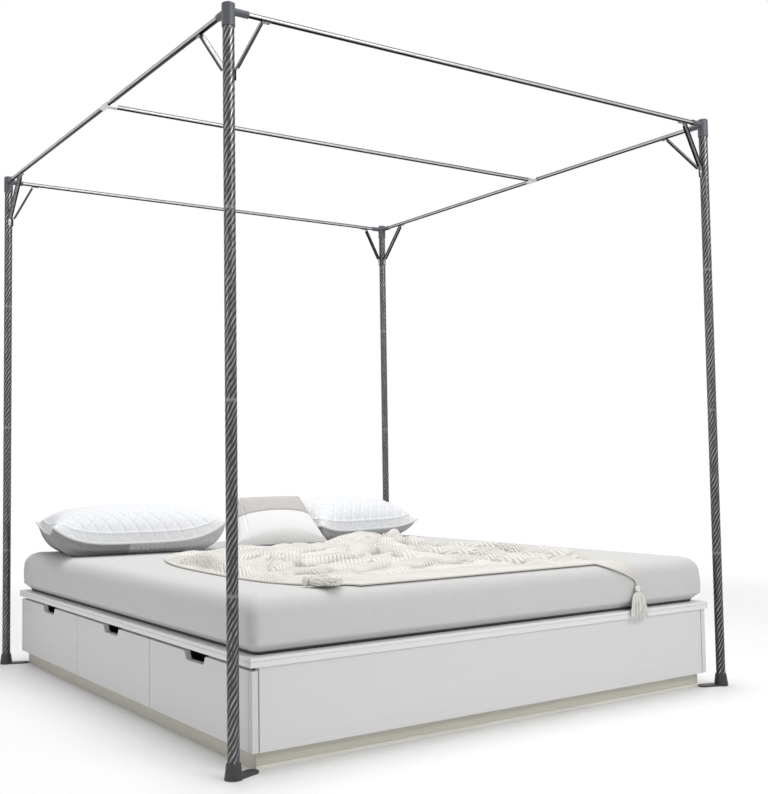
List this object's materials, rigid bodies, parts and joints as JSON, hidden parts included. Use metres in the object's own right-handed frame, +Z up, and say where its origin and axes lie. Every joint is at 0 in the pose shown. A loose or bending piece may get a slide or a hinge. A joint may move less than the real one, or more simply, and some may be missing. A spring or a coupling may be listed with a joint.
{
  "type": "metal canopy bed",
  "caption": "Double storage bed with side drawers under a tubular steel canopy frame of spiral-embossed posts, thin rails and corner braces, made up with bedding.",
  "frame": {"origin": "on the floor, under the middle of the bed", "axes": "+Z up, +Y from the foot end to the head end, +X from the drawer side to the plain side"},
  "size_m": [1.9538, 2.1288, 2.03],
  "materials": {
    "post_steel": "dark grey, embossed with a rope-like spiral",
    "rail_steel": "polished thin tube",
    "cap_plastic": "blue-grey, moulded",
    "shoe_plastic": "dark grey, moulded",
    "tee_metal": "bright",
    "brace_steel": "pressed sheet",
    "board_white": "white laminate with a fine edge line",
    "panel_white": "white laminate with faint grain",
    "drawer_white": "white laminate",
    "carcass_board": "pale laminate",
    "plinth_beige": "beige-grey laminate",
    "seal_plastic": "pale strip",
    "runner_steel": "zinc plated",
    "mattress_cover": "plain fitted sheet",
    "pillow_quilt": "diamond quilted, piped, grey side band",
    "cushion_cotton": "white cotton with a greige band",
    "throw_knit": "cream knit",
    "tassel_yarn": "cream yarn"
  },
  "bodies": {
    "bed": {"brace_front_left_end": "brace_steel", "brace_front_left_side": "brace_steel", "brace_front_right_end": "brace_steel", "brace_front_right_side": "brace_steel", "brace_rear_left_end": "brace_steel", "brace_rear_left_side": "brace_steel", "brace_rear_right_end": "brace_steel", "brace_rear_right_side": "brace_steel", "cabinet_runners": "runner_steel", "corner_caps": "cap_plastic", "corner_stiles": "drawer_white", "cushion": "cushion_cotton", "divider_front": "carcass_board", "divider_rear": "carcass_board", "foot_panel": "panel_white", "front_rail": "rail_steel", "head_panel": "panel_white", "left_rail_front": "rail_steel", "left_rail_rear": "rail_steel", "mattress": "mattress_cover", "middle_bar": "rail_steel", "middle_bar_tees": "tee_metal", "partition": "carcass_board", "pillow_left": "pillow_quilt", "pillow_right": "pillow_quilt", "platform_front": "board_white", "platform_middle": "board_white", "platform_rear": "board_white", "plinth_foot_long": "plinth_beige", "plinth_foot_short": "plinth_beige", "plinth_head": "plinth_beige", "plinth_left": "plinth_beige", "plinth_right": "plinth_beige", "plinth_seal_strip": "seal_plastic", "post_front_left": "post_steel", "post_front_right": "post_steel", "post_rear_left": "post_steel", "post_rear_right": "post_steel", "post_shoes": "shoe_plastic", "rear_rail": "rail_steel", "right_bearers": "carcass_board", "right_rail_front": "rail_steel", "right_rail_rear": "rail_steel", "right_side_panel": "panel_white", "throw": "throw_knit", "throw_tassels": "tassel_yarn"},
    "drawer_front": {"drawer_front_face": "drawer_white", "drawer_front_box": "carcass_board"},
    "drawer_middle": {"drawer_middle_face": "drawer_white", "drawer_middle_box": "carcass_board"},
    "drawer_rear": {"drawer_rear_face": "drawer_white", "drawer_rear_box": "carcass_board"}
  },
  "joints": [
    {"name": "drawer_front_slide", "type": "slide", "parent": "bed", "child": "drawer_front", "axis": [-1, 0, 0], "range_m": [0, 0.45]},
    {"name": "drawer_middle_slide", "type": "slide", "parent": "bed", "child": "drawer_middle", "axis": [-1, 0, 0], "range_m": [0, 0.45]},
    {"name": "drawer_rear_slide", "type": "slide", "parent": "bed", "child": "drawer_rear", "axis": [-1, 0, 0], "range_m": [0, 0.45]}
  ]
}
